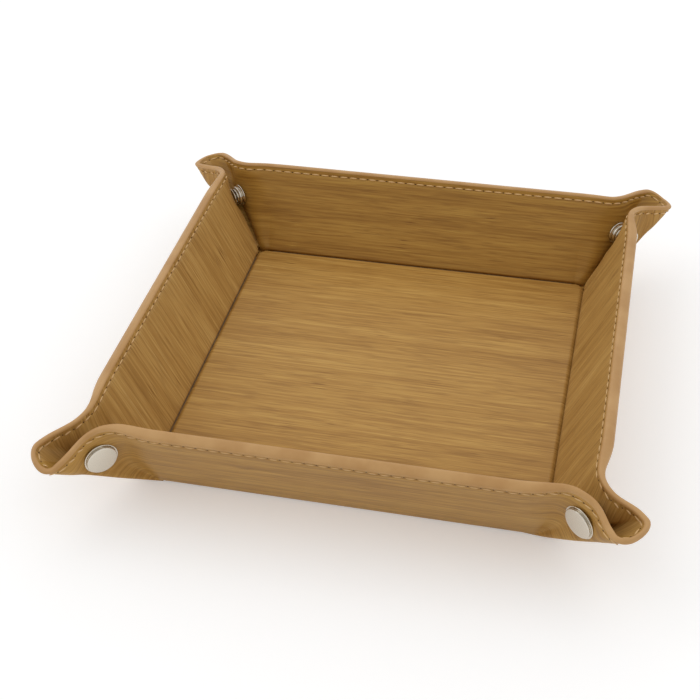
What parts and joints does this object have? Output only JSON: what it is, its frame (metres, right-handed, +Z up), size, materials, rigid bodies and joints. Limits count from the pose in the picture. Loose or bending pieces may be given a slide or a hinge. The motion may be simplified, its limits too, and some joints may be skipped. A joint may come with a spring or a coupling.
{
  "type": "snap-up valet tray",
  "caption": "Square snap-up valet tray of bamboo-look leatherette over stiff boards; pinched, snapped corner ears hold its sloping walls up and open to lay it almost flat.",
  "frame": {"origin": "middle of the base's underside, on the surface it stands on", "axes": "+Z up out of the open tray, -Y to the front wall, +X to the right wall"},
  "size_m": [0.212, 0.212, 0.0382],
  "materials": {
    "cover_leather": "satin bamboo print",
    "lining_leather": "satin bamboo print",
    "ear_leather": "satin bamboo print",
    "edge_band": "smooth painted edge",
    "stiffener_board": "raw fibreboard",
    "thread": "waxed thread",
    "snap_nickel": "polished nickel"
  },
  "bodies": {
    "base": {"base_cover": "cover_leather", "base_board": "stiffener_board", "base_lining": "lining_leather"},
    "front_wall": {"front_cover": "cover_leather", "front_board": "stiffener_board", "front_lining": "lining_leather", "front_edge_band": "edge_band", "front_stitches": "thread"},
    "right_wall": {"right_cover": "cover_leather", "right_board": "stiffener_board", "right_lining": "lining_leather", "right_edge_band": "edge_band", "right_stitches": "thread"},
    "back_wall": {"back_cover": "cover_leather", "back_board": "stiffener_board", "back_lining": "lining_leather", "back_edge_band": "edge_band", "back_stitches": "thread"},
    "left_wall": {"left_cover": "cover_leather", "left_board": "stiffener_board", "left_lining": "lining_leather", "left_edge_band": "edge_band", "left_stitches": "thread"},
    "front_right_ear_front": {"front_right_ear_front": "ear_leather", "front_right_snap_cap": "snap_nickel", "front_right_snap_socket": "snap_nickel"},
    "front_right_loop_front": {"front_right_loop_front": "ear_leather"},
    "front_left_ear_front": {"front_left_ear_front": "ear_leather", "front_left_snap_cap": "snap_nickel", "front_left_snap_socket": "snap_nickel"},
    "front_left_loop_front": {"front_left_loop_front": "ear_leather"},
    "back_right_ear_right": {"back_right_ear_right": "ear_leather", "back_right_snap_post": "snap_nickel", "back_right_snap_stud": "snap_nickel"},
    "back_right_loop_right": {"back_right_loop_right": "ear_leather"},
    "front_right_ear_right": {"front_right_ear_right": "ear_leather", "front_right_snap_post": "snap_nickel", "front_right_snap_stud": "snap_nickel"},
    "front_right_loop_right": {"front_right_loop_right": "ear_leather"},
    "back_left_ear_back": {"back_left_ear_back": "ear_leather", "back_left_snap_cap": "snap_nickel", "back_left_snap_socket": "snap_nickel"},
    "back_left_loop_back": {"back_left_loop_back": "ear_leather"},
    "back_right_ear_back": {"back_right_ear_back": "ear_leather", "back_right_snap_cap": "snap_nickel", "back_right_snap_socket": "snap_nickel"},
    "back_right_loop_back": {"back_right_loop_back": "ear_leather"},
    "front_left_ear_left": {"front_left_ear_left": "ear_leather", "front_left_snap_post": "snap_nickel", "front_left_snap_stud": "snap_nickel"},
    "front_left_loop_left": {"front_left_loop_left": "ear_leather"},
    "back_left_ear_left": {"back_left_ear_left": "ear_leather", "back_left_snap_post": "snap_nickel", "back_left_snap_stud": "snap_nickel"},
    "back_left_loop_left": {"back_left_loop_left": "ear_leather"}
  },
  "joints": [
    {"name": "front_fold", "type": "hinge", "parent": "base", "child": "front_wall", "pos_m": [0, -0.074, 0], "axis": [1, 0, 0], "range_deg": [0, 57]},
    {"name": "right_fold", "type": "hinge", "parent": "base", "child": "right_wall", "pos_m": [0.074, 0, 0], "axis": [0, 1, 0], "range_deg": [0, 57]},
    {"name": "back_fold", "type": "hinge", "parent": "base", "child": "back_wall", "pos_m": [0, 0.074, 0], "axis": [-1, 0, 0], "range_deg": [0, 57]},
    {"name": "left_fold", "type": "hinge", "parent": "base", "child": "left_wall", "pos_m": [-0.074, 0, 0], "axis": [0, -1, 0], "range_deg": [0, 57]},
    {"name": "front_right_ear_front_hinge", "type": "hinge", "parent": "front_wall", "child": "front_right_ear_front", "pos_m": [0.06778, -0.074, 0], "axis": [0.3893, -0.3893, 0.8348], "range_deg": [0, 43.98]},
    {"name": "front_right_loop_front_hinge", "type": "hinge", "parent": "front_right_ear_front", "child": "front_right_loop_front", "pos_m": [0.06778, -0.074, 0], "axis": [-0.5827, 0.5827, -0.5665], "range_deg": [0, 78.93]},
    {"name": "front_left_ear_front_hinge", "type": "hinge", "parent": "front_wall", "child": "front_left_ear_front", "pos_m": [-0.06778, -0.074, 0], "axis": [0.3893, 0.3893, -0.8348], "range_deg": [0, 43.98]},
    {"name": "front_left_loop_front_hinge", "type": "hinge", "parent": "front_left_ear_front", "child": "front_left_loop_front", "pos_m": [-0.06778, -0.074, 0], "axis": [-0.5827, -0.5827, 0.5665], "range_deg": [0, 78.93]},
    {"name": "back_right_ear_right_hinge", "type": "hinge", "parent": "right_wall", "child": "back_right_ear_right", "pos_m": [0.074, 0.06778, 0], "axis": [0.3893, 0.3893, 0.8348], "range_deg": [0, 43.98]},
    {"name": "back_right_loop_right_hinge", "type": "hinge", "parent": "back_right_ear_right", "child": "back_right_loop_right", "pos_m": [0.074, 0.06778, 0], "axis": [-0.5827, -0.5827, -0.5665], "range_deg": [0, 78.93]},
    {"name": "front_right_ear_right_hinge", "type": "hinge", "parent": "right_wall", "child": "front_right_ear_right", "pos_m": [0.074, -0.06778, 0], "axis": [-0.3893, 0.3893, -0.8348], "range_deg": [0, 43.98]},
    {"name": "front_right_loop_right_hinge", "type": "hinge", "parent": "front_right_ear_right", "child": "front_right_loop_right", "pos_m": [0.074, -0.06778, 0], "axis": [0.5827, -0.5827, 0.5665], "range_deg": [0, 78.93]},
    {"name": "back_left_ear_back_hinge", "type": "hinge", "parent": "back_wall", "child": "back_left_ear_back", "pos_m": [-0.06778, 0.074, 0], "axis": [-0.3893, 0.3893, 0.8348], "range_deg": [0, 43.98]},
    {"name": "back_left_loop_back_hinge", "type": "hinge", "parent": "back_left_ear_back", "child": "back_left_loop_back", "pos_m": [-0.06778, 0.074, 0], "axis": [0.5827, -0.5827, -0.5665], "range_deg": [0, 78.93]},
    {"name": "back_right_ear_back_hinge", "type": "hinge", "parent": "back_wall", "child": "back_right_ear_back", "pos_m": [0.06778, 0.074, 0], "axis": [-0.3893, -0.3893, -0.8348], "range_deg": [0, 43.98]},
    {"name": "back_right_loop_back_hinge", "type": "hinge", "parent": "back_right_ear_back", "child": "back_right_loop_back", "pos_m": [0.06778, 0.074, 0], "axis": [0.5827, 0.5827, 0.5665], "range_deg": [0, 78.93]},
    {"name": "front_left_ear_left_hinge", "type": "hinge", "parent": "left_wall", "child": "front_left_ear_left", "pos_m": [-0.074, -0.06778, 0], "axis": [-0.3893, -0.3893, 0.8348], "range_deg": [0, 43.98]},
    {"name": "front_left_loop_left_hinge", "type": "hinge", "parent": "front_left_ear_left", "child": "front_left_loop_left", "pos_m": [-0.074, -0.06778, 0], "axis": [0.5827, 0.5827, -0.5665], "range_deg": [0, 78.93]},
    {"name": "back_left_ear_left_hinge", "type": "hinge", "parent": "left_wall", "child": "back_left_ear_left", "pos_m": [-0.074, 0.06778, 0], "axis": [0.3893, -0.3893, -0.8348], "range_deg": [0, 43.98]},
    {"name": "back_left_loop_left_hinge", "type": "hinge", "parent": "back_left_ear_left", "child": "back_left_loop_left", "pos_m": [-0.074, 0.06778, 0], "axis": [-0.5827, 0.5827, 0.5665], "range_deg": [0, 78.93]}
  ],
  "couplings": [
    {"joint": "right_fold", "follows": "front_fold", "ratio": 1},
    {"joint": "back_fold", "follows": "front_fold", "ratio": 1},
    {"joint": "left_fold", "follows": "front_fold", "ratio": 1},
    {"joint": "front_right_ear_front_hinge", "follows": "front_fold", "ratio": 0.77145},
    {"joint": "front_right_loop_front_hinge", "follows": "front_fold", "ratio": 1.3846},
    {"joint": "front_left_ear_front_hinge", "follows": "front_fold", "ratio": 0.77145},
    {"joint": "front_left_loop_front_hinge", "follows": "front_fold", "ratio": 1.3846},
    {"joint": "back_right_ear_right_hinge", "follows": "front_fold", "ratio": 0.77145},
    {"joint": "back_right_loop_right_hinge", "follows": "front_fold", "ratio": 1.3846},
    {"joint": "front_right_ear_right_hinge", "follows": "front_fold", "ratio": 0.77145},
    {"joint": "front_right_loop_right_hinge", "follows": "front_fold", "ratio": 1.3846},
    {"joint": "back_left_ear_back_hinge", "follows": "front_fold", "ratio": 0.77145},
    {"joint": "back_left_loop_back_hinge", "follows": "front_fold", "ratio": 1.3846},
    {"joint": "back_right_ear_back_hinge", "follows": "front_fold", "ratio": 0.77145},
    {"joint": "back_right_loop_back_hinge", "follows": "front_fold", "ratio": 1.3846},
    {"joint": "front_left_ear_left_hinge", "follows": "front_fold", "ratio": 0.77145},
    {"joint": "front_left_loop_left_hinge", "follows": "front_fold", "ratio": 1.3846},
    {"joint": "back_left_ear_left_hinge", "follows": "front_fold", "ratio": 0.77145},
    {"joint": "back_left_loop_left_hinge", "follows": "front_fold", "ratio": 1.3846}
  ]
}
